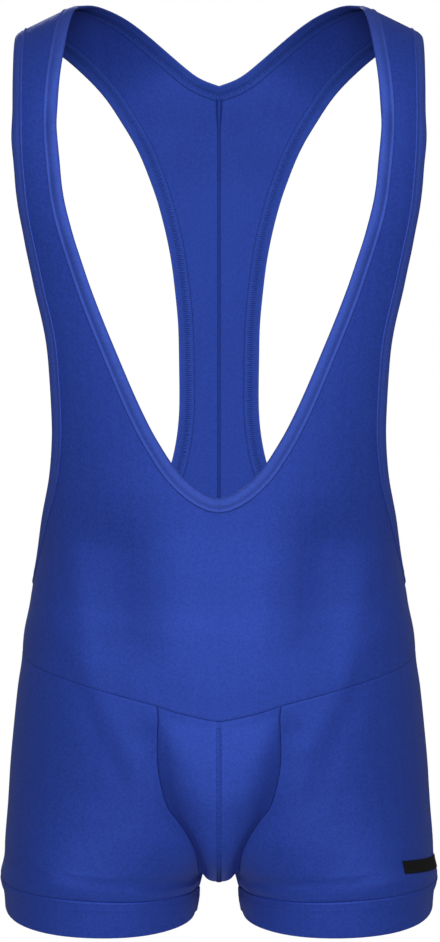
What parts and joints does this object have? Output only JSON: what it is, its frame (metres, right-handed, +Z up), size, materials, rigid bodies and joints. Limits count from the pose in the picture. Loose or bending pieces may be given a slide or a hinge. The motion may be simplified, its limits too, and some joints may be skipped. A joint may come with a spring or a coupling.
{
  "type": "athletic singlet",
  "caption": "Sleeveless one-piece stretch singlet in hollow worn form, with a deep V neck, racerback, bound armholes, front pouch and short banded legs.",
  "frame": {"origin": "on the centre plane, midway between the shoulder straps, at the height where the neck edge crosses the shoulder", "axes": "+Z up the body, -Y out of the front, +X towards the wearer's left"},
  "size_m": [0.3624, 0.2441, 0.7648],
  "materials": {
    "body_cloth": "fine satin stretch knit, royal blue",
    "binding_cloth": "folded satin stretch knit, royal blue",
    "band_cloth": "doubled satin stretch knit, royal blue",
    "label_weave": "close satin-woven tape, plain black"
  },
  "bodies": {
    "root": {"front_body": "body_cloth", "back_left": "body_cloth", "back_right": "body_cloth", "leg_left": "body_cloth", "leg_right": "body_cloth", "pouch_left": "body_cloth", "pouch_right": "body_cloth", "neck_binding": "binding_cloth", "armhole_binding_left": "binding_cloth", "armhole_binding_right": "binding_cloth", "leg_band_left": "band_cloth", "leg_band_right": "band_cloth", "label": "label_weave"}
  },
  "joints": []
}
